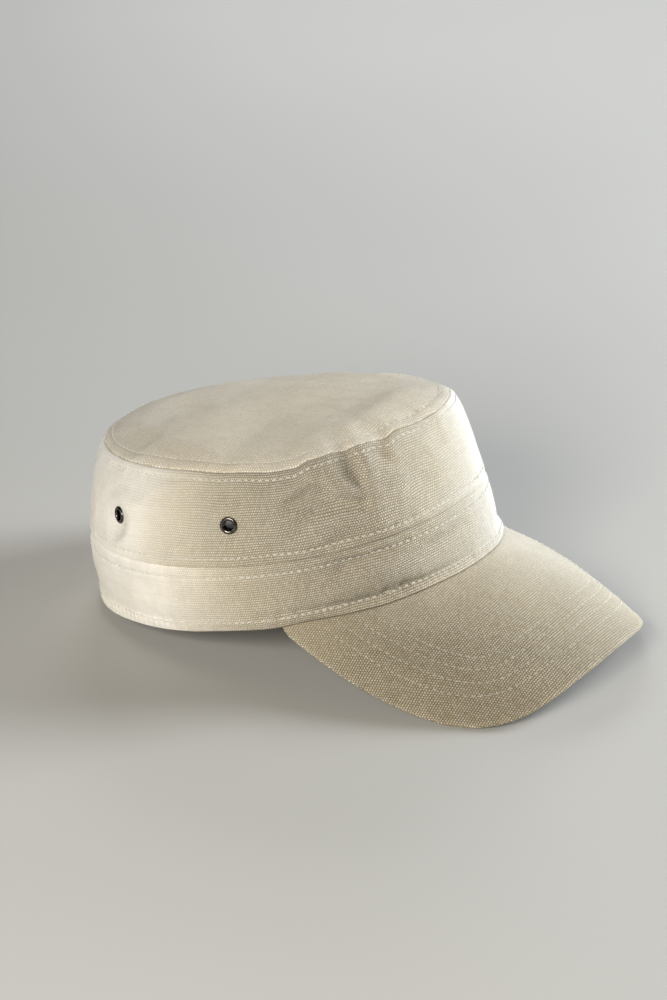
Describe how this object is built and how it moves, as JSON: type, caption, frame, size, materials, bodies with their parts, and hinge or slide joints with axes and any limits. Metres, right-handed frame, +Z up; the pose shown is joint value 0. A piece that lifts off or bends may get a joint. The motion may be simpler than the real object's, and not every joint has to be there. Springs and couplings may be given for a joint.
{
  "type": "military cap",
  "caption": "Flat-topped canvas field cap with an upright crown, a hemmed band, a curved peak and metal vent eyelets, resting on its band and peak corners.",
  "frame": {"origin": "on the surface that the cap rests on, under the middle of its bounding box", "axes": "+Z up from the surface, -Y towards the peak (front), +X towards the wearer's left; the cap lies as it rests by itself, its front raised by 13.05 degrees"},
  "size_m": [0.1696, 0.2724, 0.1148],
  "materials": {
    "canvas_top": "plain-woven cotton canvas, sand colour",
    "canvas_side": "plain-woven cotton canvas, sand colour",
    "canvas_band": "plain-woven cotton canvas, sand colour, doubled",
    "canvas_peak": "plain-woven cotton canvas over a stiffened peak",
    "eyelet_metal": "polished dark nickel"
  },
  "bodies": {
    "root": {"top_panel": "canvas_top", "crown_side": "canvas_side", "band": "canvas_band", "peak": "canvas_peak", "eyelet_right_front": "eyelet_metal", "eyelet_right_back": "eyelet_metal", "eyelet_left_front": "eyelet_metal", "eyelet_left_back": "eyelet_metal"}
  },
  "joints": []
}
